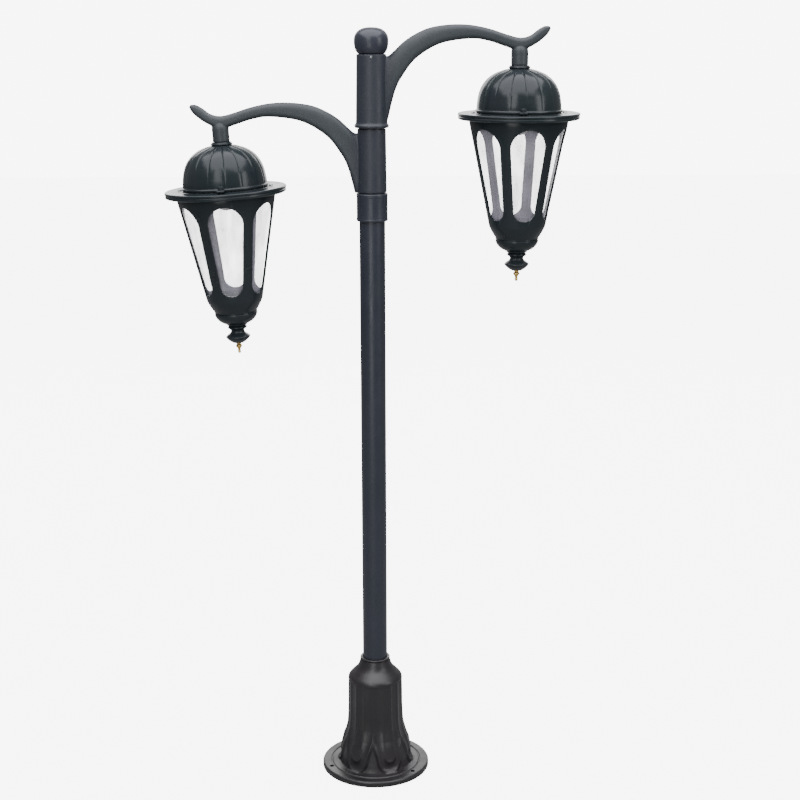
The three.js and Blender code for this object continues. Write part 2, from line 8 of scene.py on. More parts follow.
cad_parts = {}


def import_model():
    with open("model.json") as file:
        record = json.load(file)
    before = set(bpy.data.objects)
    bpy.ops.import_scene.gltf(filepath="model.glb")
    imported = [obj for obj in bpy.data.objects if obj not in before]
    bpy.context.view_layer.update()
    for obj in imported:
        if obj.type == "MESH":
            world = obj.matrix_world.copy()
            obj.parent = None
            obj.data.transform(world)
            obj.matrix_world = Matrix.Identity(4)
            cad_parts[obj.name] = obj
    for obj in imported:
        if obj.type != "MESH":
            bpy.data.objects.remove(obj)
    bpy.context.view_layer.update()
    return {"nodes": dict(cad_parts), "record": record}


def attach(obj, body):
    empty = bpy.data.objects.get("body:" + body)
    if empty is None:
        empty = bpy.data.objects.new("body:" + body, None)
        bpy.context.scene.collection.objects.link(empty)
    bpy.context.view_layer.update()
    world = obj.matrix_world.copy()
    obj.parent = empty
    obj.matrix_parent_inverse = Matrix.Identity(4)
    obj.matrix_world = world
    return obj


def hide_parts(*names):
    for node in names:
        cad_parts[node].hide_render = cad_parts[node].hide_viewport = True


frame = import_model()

# The lamp post's finished surfaces. Shapes are drawn in millimetres, in the frame's own axes, and
# scaled to metres as they become meshes.
MM = 0.001
FULL_TURN = 2 * math.pi
X_AXIS = (1, 0, 0)

TUBE_RADIUS = 30.0
BORE_RADIUS = 30.3
FRONT_AND_BACK = (-math.pi / 2, math.pi / 2)
BEHIND = (math.pi / 3, 2 * math.pi / 3)

FLANGE_RADIUS = 133.2
FLANGE_HEIGHT = 15.0
BASE_HEIGHT = 288.0
BASE_SCREW_HEIGHT = 262
COLLAR_SCREW_HEIGHT = 1401
SLEEVE_SCREW_DROP = 6
SCREW_HOLE_REACH = 60
SOCKET_DEPTH = 2.0
LOBES = 6
LOBE_TURN = -0.092
LOBE_HALF_WIDTH = 28.5
LOBE_TIP = 17.0
LOBE_SPREAD_TOP = 118.0
INNER_HALF_WIDTH = 13.5
INNER_TIP = 42.0
FLUTE_TOP = 236.0
ANCHORS = 3
ANCHOR_CIRCLE = 118.0
ANCHOR_HOLE = 5.5
ANCHOR_TURN = -0.68

HANG_HEIGHT = 106.0
UPPER_REACH = 337.5
LANTERNS = {
    "upper": {"hang": (UPPER_REACH, 1734.0), "lean": 0.0, "windows": math.radians(8.3)},
    "lower": {"hang": (-345.0, 1564.0), "lean": math.radians(3.3), "windows": math.radians(1.3)},
}
ARMS = {
    "upper": {
        "foot": 1594.5, "top": 1760.0, "radii": (36.3, 34.0), "bead": 40.0,
        "reach": UPPER_REACH, "drop": 0.0,
    },
    "lower": {
        "foot": 1447.0, "top": 1592.5, "radii": (34.2, 32.8), "bead": 0.0,
        "reach": 345.0, "drop": 173.0,
    },
}

GORES = 16
WINDOWS = 6
WINDOW_TOP = -33.0
WINDOW_FOOT = -244.0
POST_WIDTH = 25.0
CAGE_TOP = -15.3
CAGE_CONE_FOOT = -252.0
CAGE_TOP_RADIUS = 115.0
CAGE_FOOT_RADIUS = 67.0
CAGE_WALL = 5.0
GLAZING_WALL = 2.0
HINGE_OUT = 108.0
HINGE_UP = 7.0
LATCH_OUT = 109.0


# ---- curves and profiles ------------------------------------------------------------------------


def blend_of(a, b, t):
    return a + (b - a) * t


def smoothstep(low, high, value):
    t = min(1.0, max(0.0, (value - low) / (high - low)))
    return t * t * (3 - 2 * t)


def spline(points, steps):
    """A Catmull-Rom curve through 2D points, with so many steps between each two."""
    made = []
    last = len(points) - 1
    for i in range(last):
        p0, p1, p2, p3 = (points[min(last, max(0, i + k))] for k in (-1, 0, 1, 2))
        for step in range(steps):
            t = step / steps
            made.append(tuple(catmull(p0[k], p1[k], p2[k], p3[k], t) for k in (0, 1)))
    made.append(tuple(points[last]))
    return made


def catmull(a, b, c, d, t):
    return 0.5 * (2 * b + (c - a) * t + (2 * a - 5 * b + 4 * c - d) * t**2 + (3 * b - a - 3 * c + d) * t**3)


def eased(points, radius, closed=False, steps=4):
    """The same outline with every corner rounded, by at most the radius."""
    made = []
    count = len(points)
    for i, point in enumerate(points):
        if not closed and i in (0, count - 1):
            made.append(tuple(point))
            continue
        corner = Vector(point)
        before = Vector(points[i - 1]) - corner
        after = Vector(points[(i + 1) % count]) - corner
        cut = min(radius, before.length * 0.45, after.length * 0.45)
        start = corner + before.normalized() * cut
        end = corner + after.normalized() * cut
        for step in range(steps + 1):
            t = step / steps
            made.append(tuple(start * (1 - t) ** 2 + corner * 2 * t * (1 - t) + end * t * t))
    return made


def dense(points, longest):
    """The same outline with no step longer than this."""
    made = [tuple(points[0])]
    for a, b in zip(points, points[1:]):
        parts = max(1, math.ceil(math.dist(a, b) / longest))
        made += [tuple(blend_of(a[k], b[k], n / parts) for k in (0, 1)) for n in range(1, parts + 1)]
    return made


# ---- meshes -------------------------------------------------------------------------------------


def finished(name, bm, sharp=40):
    """Closes a bmesh into an object, shaded smooth except where faces meet at more than the angle."""
    bmesh.ops.remove_doubles(bm, verts=bm.verts, dist=1e-6)
    bmesh.ops.recalc_face_normals(bm, faces=bm.faces)
    mesh = bpy.data.meshes.new(name)
    bm.to_mesh(mesh)
    bm.free()
    obj = bpy.data.objects.new(name, mesh)
    bpy.context.scene.collection.objects.link(obj)
    smoothed(obj, sharp)
    return obj


def smoothed(obj, sharp=40):
    obj.data.shade_smooth()
    obj.data.set_sharp_from_angle(angle=math.radians(sharp))


def skin(bm, rings, close_ends=False):
    """Joins rings of the same number of points, in millimetres, with faces."""
    rows = [[bm.verts.new(Vector(point) * MM) for point in ring] for ring in rings]
    for low, high in zip(rows, rows[1:]):
        for i in range(len(low)):
            j = (i + 1) % len(low)
            bm.faces.new((low[i], low[j], high[j], high[i]))
    if close_ends:
        bm.faces.new(rows[0])
        bm.faces.new(rows[-1])
    return rows


def revolved(name, profile, sides=96, shape=None, sharp=40):
    """A profile of (radius, height) turned about Z. shape(radius, height, angle) may move a point."""
    closed = profile[0][0] > 0
    points = list(profile) + ([profile[0]] if closed else [])
    bm = bmesh.new()
    rings = []
    for radius, height in points:
        ring = []
        for side in range(sides):
            angle = FULL_TURN * side / sides
            r, z = shape(radius, height, angle) if shape else (radius, height)
            ring.append((r * math.cos(angle), r * math.sin(angle), z))
        rings.append(ring)
    skin(bm, rings)
    bmesh.ops.remove_doubles(bm, verts=bm.verts, dist=1e-6)
    degenerate = [face for face in bm.faces if face.calc_area() < 1e-14]
    bmesh.ops.delete(bm, geom=degenerate, context="FACES_ONLY")
    return finished(name, bm, sharp)


def rod(name, radius, foot, top, sides=48, ease=0.5):
    return revolved(name, eased([(0, foot), (radius, foot), (radius, top), (0, top)], ease), sides)


def block(name, low, high, ease=1.0):
    """A box from one corner to the other with rounded edges."""
    bm = bmesh.new()
    bmesh.ops.create_cube(bm, size=1.0)
    for vert in bm.verts:
        vert.co = Vector(blend_of(low[k], high[k], vert.co[k] + 0.5) * MM for k in range(3))
    bmesh.ops.bevel(bm, geom=bm.edges[:], offset=ease * MM, segments=3, affect="EDGES", profile=0.6)
    return finished(name, bm, 60)


def placed(obj, matrix):
    obj.data.transform(matrix)
    return obj


def along(axis, x, y, z):
    """Carries Z onto an axis, and the origin to a place in millimetres."""
    turn = Vector((0, 0, 1)).rotation_difference(Vector(axis)).to_matrix().to_4x4()
    return Matrix.Translation(Vector((x, y, z)) * MM) @ turn


def settle(obj):
    """Applies the modifiers."""
    graph = bpy.context.evaluated_depsgraph_get()
    mesh = bpy.data.meshes.new_from_object(obj.evaluated_get(graph))
    old = obj.data
    obj.modifiers.clear()
    obj.data = mesh
    bpy.data.meshes.remove(old)
    return obj


def combined(obj, others, operation):
    for other in others:
        modifier = obj.modifiers.new("boolean", "BOOLEAN")
        modifier.operation = operation
        modifier.object = other
        modifier.solver = "EXACT"
        settle(obj)
        mesh = other.data
        bpy.data.objects.remove(other)
        bpy.data.meshes.remove(mesh)
    return obj


def cut(obj, *tools):
    """Takes the tools out of the piece, and removes the tools."""
    return combined(obj, tools, "DIFFERENCE")


def joined(obj, *others):
    return combined(obj, others, "UNION")


def bevelled(obj, width, segments=3, angle=35):
    modifier = obj.modifiers.new("bevel", "BEVEL")
    modifier.width = width * MM
    modifier.segments = segments
    modifier.limit_method = "ANGLE"
    modifier.angle_limit = math.radians(angle)
    modifier.miter_outer = "MITER_ARC"
    settle(obj)
    smoothed(obj)
    return obj


def cast(obj, voxel, rounds):
    """Melts a union into one skin with soft inside corners, like a casting."""
    remesh = obj.modifiers.new("remesh", "REMESH")
    remesh.mode = "VOXEL"
    remesh.voxel_size = voxel * MM
    smooth = obj.modifiers.new("smooth", "SMOOTH")
    smooth.factor = 0.5
    smooth.iterations = rounds
    settle(obj)
    smoothed(obj, 60)
    return obj


# ---- materials ----------------------------------------------------------------------------------

EDGE_WEAR = 0.35


class Graph:
    """A material's nodes, with short ways to add and join them."""

    def __init__(self, name):
        self.material = bpy.data.materials.new(name)
        self.material.use_nodes = True
        self.tree = self.material.node_tree
        self.shader = self.tree.nodes["Principled BSDF"]
        self.position = self.add("ShaderNodeTexCoord").outputs["Object"]

    def add(self, kind, **inputs):
        node = self.tree.nodes.new(kind)
        for key, value in inputs.items():
            node.inputs[key.replace("_", " ")].default_value = value
        return node

    def link(self, start, end):
        self.tree.links.new(start, end)

    def noise(self, scale, detail=4.0, roughness=0.55, stretch=None):
        node = self.add("ShaderNodeTexNoise", Scale=scale, Detail=detail, Roughness=roughness)
        if stretch is None:
            self.link(self.position, node.inputs["Vector"])
            return node.outputs["Fac"]
        mapping = self.add("ShaderNodeMapping", Scale=stretch)
        self.link(self.position, mapping.inputs["Vector"])
        self.link(mapping.outputs["Vector"], node.inputs["Vector"])
        return node.outputs["Fac"]

    def ramp(self, value, low, high, first, second):
        node = self.add("ShaderNodeMapRange")
        self.link(value, node.inputs["Value"])
        sizes = {"From Min": low, "From Max": high, "To Min": first, "To Max": second}
        for key, number in sizes.items():
            node.inputs[key].default_value = number
        return node.outputs["Result"]

    def mix(self, share, first, second):
        node = self.tree.nodes.new("ShaderNodeMix")
        node.data_type = "RGBA"
        self.link(share, node.inputs["Factor"])
        for socket, value in ((node.inputs[6], first), (node.inputs[7], second)):
            if isinstance(value, tuple):
                socket.default_value = (*value, 1.0)
            else:
                self.link(value, socket)
        return node.outputs[2]

    def bump(self, height, distance, strength=1.0, under=None):
        node = self.add("ShaderNodeBump", Strength=strength, Distance=distance)
        self.link(height, node.inputs["Height"])
        if under is not None:
            self.link(under, node.inputs["Normal"])
        return node.outputs["Normal"]

    def edges(self, low, high):
        """How worn an edge is: where the surface is sharply convex."""
        geometry = self.tree.nodes.new("ShaderNodeNewGeometry")
        return self.ramp(geometry.outputs["Pointiness"], low, high, 0.0, 1.0)


def paint(name, colour, tint, roughness, grain, sleeve_shade_colour=None, specular=0.42):
    """Semi-gloss paint over metal: cloudy colour, orange peel, dulled patches and rubbed edges.

    The grain is the depth of the orange peel in millimetres. sleeve_shade_colour is painted shade: a darker,
    bluer copy of the paint for the part of an arm that is cast round the pole, the arm being one paint.
    """
    graph = Graph(name)
    clouds = graph.ramp(graph.noise(9.0, 5.0), 0.3, 0.7, 0.0, 1.0)
    body = graph.mix(clouds, colour, tint)
    # Painted shade: the sleeves round the pole get a darker, bluer copy of the paint, fading out along the
    # blade.
    if sleeve_shade_colour:
        body = graph.mix(sleeve_shade_mask(graph, 0.034, 0.062), sleeve_shade_colour, body)
    rubbed = tuple(min(1.0, channel * 1.9 + 0.02) for channel in colour)
    worn = graph.add("ShaderNodeMath")
    worn.operation = "MULTIPLY"
    graph.link(graph.edges(0.53, 0.62), worn.inputs[0])
    worn.inputs[1].default_value = EDGE_WEAR
    graph.link(graph.mix(worn.outputs[0], body, rubbed), graph.shader.inputs["Base Color"])
    patches = graph.ramp(graph.noise(26.0, 6.0), 0.25, 0.75, roughness - 0.07, roughness + 0.1)
    graph.link(patches, graph.shader.inputs["Roughness"])
    coarse = graph.bump(graph.noise(220.0, 3.0), grain * MM, 0.5)
    fine = graph.bump(graph.noise(1400.0, 2.0), grain * 0.35 * MM, 0.4, coarse)
    graph.link(fine, graph.shader.inputs["Normal"])
    graph.shader.inputs["Metallic"].default_value = 0.0
    graph.shader.inputs["Specular IOR Level"].default_value = specular
    return graph.material


def sleeve_shade_mask(graph, near, far):
    """Where the sleeves' painted shade gives way to the blade's paint: 0 on the pole's sleeves and 1 well out
    along an arm.
    """
    flat = graph.add("ShaderNodeVectorMath")
    flat.operation = "MULTIPLY"
    flat.inputs[1].default_value = (1.0, 1.0, 0.0)
    graph.link(graph.position, flat.inputs[0])
    length = graph.add("ShaderNodeVectorMath")
    length.operation = "LENGTH"
    graph.link(flat.outputs["Vector"], length.inputs[0])
    return graph.ramp(length.outputs["Value"], near, far, 0.0, 1.0)


def metal(name, colour, dark, roughness):
    """Bare metal with tarnish and a brushed grain along Z."""
    graph = Graph(name)
    tarnish = graph.ramp(graph.noise(90.0, 6.0), 0.35, 0.7, 0.0, 1.0)
    graph.link(graph.mix(tarnish, colour, dark), graph.shader.inputs["Base Color"])
    patches = graph.ramp(graph.noise(300.0), 0.3, 0.7, roughness, roughness + 0.18)
    graph.link(patches, graph.shader.inputs["Roughness"])
    brushed = graph.noise(60.0, 3.0, 0.6, (8.0, 8.0, 90.0))
    graph.link(graph.bump(brushed, 0.02 * MM, 0.4), graph.shader.inputs["Normal"])
    graph.shader.inputs["Metallic"].default_value = 1.0
    return graph.material


def glazing_material():
    """Clear plastic sheet with a milky haze and fine ripples, and long dark vertical streaks of painted
    reflection.
    """
    graph = Graph("rippled_glazing")
    painted_reflection_streaks = graph.noise(46.0, 4.0, 0.6, (1.0, 1.0, 0.1))
    haze = graph.noise(14.0, 3.0)
    # The dark purple tint in the streaks is painted reflection; the pale tint is the sheet's own milky haze.
    tint = graph.mix(graph.ramp(painted_reflection_streaks, 0.35, 0.7, 0.0, 1.0), (0.76, 0.74, 0.84), (0.34, 0.32, 0.39))
    graph.link(tint, graph.shader.inputs["Base Color"])
    share = graph.add("ShaderNodeMath")
    share.operation = "ADD"
    graph.link(graph.ramp(painted_reflection_streaks, 0.3, 0.75, 0.05, 0.24), share.inputs[0])
    graph.link(graph.ramp(haze, 0.35, 0.65, 0.0, 0.12), share.inputs[1])
    graph.link(share.outputs[0], graph.shader.inputs["Alpha"])
    graph.link(graph.ramp(haze, 0.3, 0.7, 0.12, 0.26), graph.shader.inputs["Roughness"])
    ripples = graph.noise(60.0, 2.0, 0.5, (1.0, 1.0, 0.16))
    graph.link(graph.bump(ripples, 0.5 * MM, 0.5), graph.shader.inputs["Normal"])
    graph.shader.inputs["IOR"].default_value = 1.45
    return graph.material


def plain(name, colour, second, roughness, scale=120.0):
    """A smooth material that varies a little between two colours: rubber, glass, ceramic or plastic."""
    graph = Graph(name)
    clouds = graph.ramp(graph.noise(scale), 0.35, 0.65, 0.0, 1.0)
    patches = graph.ramp(graph.noise(scale * 2), 0.3, 0.7, roughness, roughness + 0.12)
    graph.link(graph.mix(clouds, colour, second), graph.shader.inputs["Base Color"])
    graph.link(patches, graph.shader.inputs["Roughness"])
    graph.link(graph.bump(graph.noise(scale * 6), 0.03 * MM, 0.5), graph.shader.inputs["Normal"])
    return graph.material


MATERIALS = {
    "base_paint": paint(
        "base_paint", (0.007, 0.007, 0.008), (0.015, 0.012, 0.015), roughness=0.37, grain=0.45, specular=0.58,
    ),
    "post_paint": paint(
        "post_paint", (0.019, 0.024, 0.033), (0.026, 0.028, 0.040), roughness=0.34, grain=0.20,
    ),
    "arm_paint": paint(
        "arm_paint", (0.026, 0.033, 0.037), (0.033, 0.040, 0.045), roughness=0.45, grain=0.30,
        # The sleeves' colour is painted shade, darker than the blade; the arm is one paint.
        sleeve_shade_colour=(0.021, 0.024, 0.033),
    ),
    "lantern_paint": paint(
        "lantern_paint", (0.012, 0.019, 0.021), (0.016, 0.020, 0.024), roughness=0.21, grain=0.18,
        specular=0.28,
    ),
    "plated_steel": metal("plated_steel", (0.50, 0.52, 0.55), (0.30, 0.31, 0.33), roughness=0.28),
    "brass": metal("brass", (0.80, 0.56, 0.20), (0.52, 0.33, 0.10), roughness=0.22),
    "gasket_rubber": plain("gasket_rubber", (0.015, 0.015, 0.015), (0.028, 0.028, 0.028), roughness=0.7),
    "frosted_diffuser": glazing_material(),
    "lamp_glass": plain("lamp_glass", (0.85, 0.84, 0.80), (0.78, 0.77, 0.74), roughness=0.18, scale=40.0),
    "holder_ceramic": plain("holder_ceramic", (0.78, 0.76, 0.70), (0.70, 0.68, 0.63), roughness=0.22),
    "terminal_plastic": plain(
        "terminal_plastic", (0.72, 0.70, 0.62), (0.66, 0.64, 0.58), roughness=0.4,
    ),
}
SLOT_OF = {entry["node"]: entry["material_slot"] for entry in frame["record"]["subparts"]}
BODY_OF = {node: body for body, nodes in frame["record"]["behaviour"]["bodies"].items() for node in nodes}


def dressed(obj, slot):
    obj.data.materials.clear()
    obj.data.materials.append(MATERIALS[slot])
    return obj


def stands_for(obj, node):
    """Gives a piece its node's paint and body, and hides the node."""
    dressed(obj, SLOT_OF[node])
    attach(obj, BODY_OF[node])
    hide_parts(node)
    return obj


# ---- base ---------------------------------------------------------------------------------------

# (height, radius) of the bell along the middle of a lobe, and between two lobes.
LOBE_LINE = [
    (15, 95.5), (17, 95), (20, 92.6), (26, 90.2), (40, 89.2), (58, 87.5), (75, 84), (91, 78),
    (LOBE_SPREAD_TOP, 71), (160, 68.5), (201, 68), (FLUTE_TOP, 67.4),
]
VALLEY_LINE = [
    (15, 92), (17, 90.4), (20, 89), (26, 87.4), (40, 84.8), (58, 81.8), (75, 79), (91, 75.4),
    (LOBE_SPREAD_TOP, 70.5), (160, 67.5), (201, 67), (FLUTE_TOP, 67.4),
]
# (radius, height) of the crown above the flutes, and of the hollow inside.
SHOULDER = [
    (67.2, 236.2), (66.4, 241.5), (63, 247), (55.4, 255), (47.5, 263), (42.4, 270), (39.5, 277), (36, 288),
]
HOLLOW = [(27, 142), (59, 142), (61, 120), (66, 90), (72, 58), (72, 40), (78, 12), (78, 0)]
FLUTE_DEPTH = 3.0


def radius_on(line, height):
    """The radius of a line of (height, radius) points, on a smooth curve through them."""
    last = len(line) - 1
    i = next((n for n in range(last) if height <= line[n + 1][0]), last - 1)
    t = min(1.0, max(0.0, (height - line[i][0]) / (line[i + 1][0] - line[i][0])))
    before, here, there, after = (line[min(last, max(0, i + k))][1] for k in (-1, 0, 1, 2))
    return catmull(before, here, there, after, t)


def tip_distance(across, height, centre):
    """Distance to a lobe's middle line, or below the centre of a round tip to that centre."""
    return math.hypot(across, max(0.0, centre - height))


def base_relief(height, angle):
    """How far the bell lies under its lobes' outline: flutes above, nested U shapes at the foot."""
    outline = radius_on(LOBE_LINE, height)
    sector = FULL_TURN / LOBES
    across = abs((angle - LOBE_TURN + sector / 2) % sector - sector / 2) * outline
    spread = smoothstep(40, LOBE_SPREAD_TOP, height)
    outer_width = blend_of(LOBE_HALF_WIDTH, outline * sector / 2, spread)
    inner_width = blend_of(INNER_HALF_WIDTH, outline * sector / 6, spread)
    to_outer = outer_width - tip_distance(across, height, LOBE_TIP + LOBE_HALF_WIDTH)
    to_inner = tip_distance(across, height, INNER_TIP + INNER_HALF_WIDTH) - inner_width
    if to_outer < 0:
        return smoothstep(0, 10, -to_outer) * (outline - radius_on(VALLEY_LINE, height))
    if to_inner < 0:
        share = 1 + to_inner / inner_width
    else:
        share = 2 * to_inner / (to_inner + to_outer) - 1
    return FLUTE_DEPTH * max(0.0, 1 - abs(share) ** 2.2) ** 0.85


def base_outline():
    flange = [
        (78, 0), (131.4, 0), (FLANGE_RADIUS, 1.8), (FLANGE_RADIUS, 11.5), (131.4, 14), (128.5, FLANGE_HEIGHT),
    ]
    groove = [
        (112.6, FLANGE_HEIGHT), (111.4, 13.2), (108.8, 13.2), (107.6, FLANGE_HEIGHT),
        (98, FLANGE_HEIGHT + 0.5),
    ]
    outer = dense(eased(flange + groove, 1.0), 4)[1:]
    bell = [(radius_on(LOBE_LINE, height), height) for height in (17 + 2.2 * n for n in range(100))]
    crown = dense(spline(SHOULDER, 6), 2)
    mouth = [(34.5, BASE_HEIGHT), (BORE_RADIUS, BASE_HEIGHT), (BORE_RADIUS, 150), (27, 150)]
    return outer + bell + crown + mouth + HOLLOW


def base_shape(radius, height, angle):
    """Presses the relief into the bell's outer skin and leaves the hollow and the shoulder alone."""
    skin_here = LOBE_TIP <= height < FLUTE_TOP and radius > radius_on(LOBE_LINE, height) - 1
    return (radius - base_relief(height, angle), height) if skin_here else (radius, height)


def base_piece():
    base = revolved("cast_base", base_outline(), 432, base_shape, 50)
    holes = []
    for n in range(ANCHORS):
        angle = ANCHOR_TURN + FULL_TURN * n / ANCHORS
        hole = rod(f"hole_{n}", ANCHOR_HOLE, -1, FLANGE_HEIGHT + 5)
        x, y = (ANCHOR_CIRCLE * f(angle) for f in (math.cos, math.sin))
        holes.append(placed(hole, Matrix.Translation((x * MM, y * MM, 0))))
    cut(base, *holes, *screw_holes(BEHIND, BASE_SCREW_HEIGHT))
    smoothed(base, 50)
    stands_for(base, "base_casting")
    ring = [(BORE_RADIUS, 288.3), (35.5, 288.3), (37, 290.5), (36.4, 293), (33.5, 294), (BORE_RADIUS, 294)]
    stands_for(revolved("neck_ring_fine", eased(ring, 1.2, True)), "neck_ring")


# ---- tube, collar, ball, set screws -------------------------------------------------------------


def ball_point(neck, share):
    """A point of the ball's outline, from its neck up to its crown."""
    radius, centre, rise, fall, squareness = 39.5, 1789.0, 30.5, 39.0, 2.4
    start = math.asin((neck - centre) / fall)
    height = math.sin(blend_of(start, math.pi / 2, share))
    across = radius * max(0.0, 1 - abs(height) ** squareness) ** (1 / squareness)
    return (across if share < 1 else 0.0, centre + height * (fall if height < 0 else rise))


def post_pieces():
    tube = [(27, 151), (TUBE_RADIUS, 151), (TUBE_RADIUS, 1759), (27, 1759)]
    outline = dense(tube + [tube[0]], 60)[:-1]
    stands_for(revolved("pole", outline, 128), "pole_tube")
    collar = [
        (BORE_RADIUS, 1381), (35.2, 1381), (36.5, 1382.6), (36.5, 1386), (36, 1387), (36, 1436.5),
        (36.5, 1437.5), (36.5, 1443.2), (35.2, 1445), (BORE_RADIUS, 1445),
    ]
    coupling = revolved("pole_coupling", eased(collar, 0.8, True), 128)
    cut(coupling, *screw_holes(BEHIND, COLLAR_SCREW_HEIGHT))
    smoothed(coupling)
    stands_for(coupling, "coupling_collar")
    neck = 1760.3
    ball = [ball_point(neck, step / 48) for step in range(49)]
    outline = eased([(0, 1730), (26.7, 1730), (26.7, neck), (ball[0][0] - 1.2, neck)], 0.6) + ball[1:]
    stands_for(revolved("finial_ball", outline, 128), "ball_finial")


def screw_holes(turns, height):
    """Rods to cut with, from inside the tube outward, one along each direction."""
    holes = []
    for turn in turns:
        hole = rod("screw_hole", 3.1, 20, SCREW_HOLE_REACH, 24)
        holes.append(placed(hole, along((math.cos(turn), math.sin(turn), 0), 0, 0, height)))
    return holes


def hex_screw(name, outer, height, turn):
    """A grub screw lying outward along a direction about the tube, with a hexagon socket."""
    body = rod(name, 2.7, TUBE_RADIUS + 0.4, outer, 32, 0.4)
    socket = rod(name + "_socket", 1.45, outer - SOCKET_DEPTH, outer + 1, 6, 0.0)
    cut(body, socket)
    matrix = along((math.cos(turn), math.sin(turn), 0), 0, 0, height)
    smoothed(placed(body, matrix), 35)
    return body


def screw_pieces():
    # Name, directions about the tube, how far out the screw's end lies, and its height.
    rows = (
        ("base_screw", BEHIND, 44, BASE_SCREW_HEIGHT),
        ("collar_screw", BEHIND, 37, COLLAR_SCREW_HEIGHT),
        ("upper_arm_screw", FRONT_AND_BACK, 35, ARMS["upper"]["top"] - SLEEVE_SCREW_DROP),
        ("lower_arm_screw", BEHIND, 33.8, ARMS["lower"]["top"] - SLEEVE_SCREW_DROP),
    )
    for name, turns, outer, height in rows:
        for n, turn in enumerate(turns, 1):
            screw = hex_screw(f"{name}_{n}_fine", outer, height, turn)
            stands_for(screw, f"{name}_{n}")


# ---- arms ---------------------------------------------------------------------------------------

# (distance from the pole's axis, height) along the upper arm's top and foot edges.
BLADE_TOP = [
    (22, 1755), (38, 1756), (50, 1765.5), (75, 1788.5), (104, 1806.5), (136, 1819), (180, 1825), (225, 1824),
    (270, 1815), (310, 1802), (338, 1795.5), (360, 1800), (378, 1813), (392, 1820.5), (401, 1821),
]
BLADE_FOOT = [
    (30, 1590), (38, 1615), (46, 1648), (56, 1682), (71, 1711), (102, 1750), (156, 1782), (224, 1793),
    (266, 1788), (306, 1775), (338, 1766), (366, 1777), (386, 1790), (400, 1803), (406, 1813),
]
BLADE_SIDES = 40


def blade_ring(upper, lower, half_width):
    """One section of the blade: a flat oval with full corners between its top and its foot."""
    ring = []
    for side in range(BLADE_SIDES):
        angle = FULL_TURN * side / BLADE_SIDES
        up = math.copysign(abs(math.sin(angle)) ** 0.72, math.sin(angle))
        out = math.copysign(abs(math.cos(angle)) ** 0.72, math.cos(angle))
        share = 0.5 + 0.5 * up
        x, z = (blend_of(lower[k], upper[k], share) for k in (0, 1))
        ring.append((x, out * half_width, z))
    return ring


def blade(reach, drop):
    """The arm's curved blade, running out along +X: the upper arm's lines, scaled and lowered."""
    scale = reach / UPPER_REACH
    top = spline([(x * scale, z - drop) for x, z in BLADE_TOP], 8)
    foot = spline([(x * scale, z - drop) for x, z in BLADE_FOOT], 8)
    rings = []
    for n, (upper, lower) in enumerate(zip(top, foot)):
        taper = max(0.0, n / (len(top) - 1) - 0.75) / 0.25
        rings.append(blade_ring(upper, lower, 15 * (1 - 0.35 * taper)))
    end = rings[-1]
    middle = sum((Vector(point) for point in end), Vector()) / len(end)
    bulge = Vector((2.4, 0, 1.4))
    for share, push in ((0.8, 0.6), (0.45, 0.95)):
        rings.append([tuple(middle + (Vector(point) - middle) * share + bulge * push) for point in end])
    bm = bmesh.new()
    skin(bm, rings, close_ends=True)
    return finished("blade", bm)


def sleeve_outline(arm):
    foot, top, bead = (arm[key] for key in ("foot", "top", "bead"))
    wide, narrow = arm["radii"]
    if not bead:
        return [(0, foot), (wide, foot), (narrow, top), (0, top)]
    ring = [
        (bead - 2.5, foot), (bead, foot + 2.5), (bead, foot + 6.5), (bead - 2.4, foot + 9), (wide, foot + 12),
    ]
    return [(0, foot)] + ring + [(wide - 0.2, foot + 18), (narrow, top), (0, top)]


def arm_piece(name):
    """Sleeve, blade and stem in one casting, bored for the tube."""
    arm = ARMS[name]
    hang_x, hang_z = LANTERNS[name]["hang"]
    lean = LANTERNS[name]["lean"]
    side = math.copysign(1, hang_x)
    hang = Matrix.Translation(Vector((arm["reach"], 0, hang_z)) * MM)
    stem_place = hang @ Matrix.Rotation(lean, 4, "Y")
    stem_outline = [
        (0, 0), (19, 0), (19.5, 1.5), (19.5, 22), (19.7, 28), (19.2, 34), (17, 40), (12, 46), (0, 49),
    ]
    stem = placed(revolved("stem", dense(eased(stem_outline, 2), 3), 64), stem_place)
    sleeve = revolved("sleeve", dense(eased(sleeve_outline(arm), 1.5), 4), 96)
    whole = joined(blade(arm["reach"], arm["drop"]), sleeve, stem)
    whole.name = f"{name}_arm_cast"
    cast(whole, 1.3, 5)
    bore = rod("bore", BORE_RADIUS, arm["foot"] - 20, arm["top"] + 20, 96)
    under = block("under", (-90, -90, arm["foot"] - 60), (90, 90, arm["foot"]), 0.1)
    cut(whole, bore, under)
    if side < 0:
        placed(whole, Matrix.Rotation(math.pi, 4, "Z"))
    directions = FRONT_AND_BACK if side > 0 else BEHIND
    cut(whole, *screw_holes(directions, arm["top"] - SLEEVE_SCREW_DROP))
    smoothed(whole, 50)
    stands_for(whole, f"{name}_arm")


# ---- lantern ------------------------------------------------------------------------------------

# A lantern is made round the Z axis, and its heights are counted from the top face of the brim.

# (radius, height) of the dome's outside, from its foot up to the collar ring.
DOME = [(97.3, 9), (96.8, 18), (95.3, 29), (92, 44), (84.8, 61), (72.5, 76.5), (56, 88), (38, 95), (26, 98)]


def gore_shape(radius, height, angle):
    """Narrow grooves between the gores: deep by the collar, almost gone at the foot."""
    plain_foot, plain_crown = 10, 25
    if height < plain_foot or radius < plain_crown:
        return radius, height
    seam = abs(math.sin(GORES / 2 * (angle - 0.1)))
    groove = math.exp(-(seam * radius / 11) ** 2)
    depth = blend_of(0.45, 2.6, smoothstep(30, 90, height)) * smoothstep(25, 34, radius)
    crown = 0.5 * seam * smoothstep(12, 50, height)
    slope = smoothstep(62, 94, height)
    return radius - groove * depth * (1 - slope * 0.7) + crown, height - groove * depth * slope * 0.8


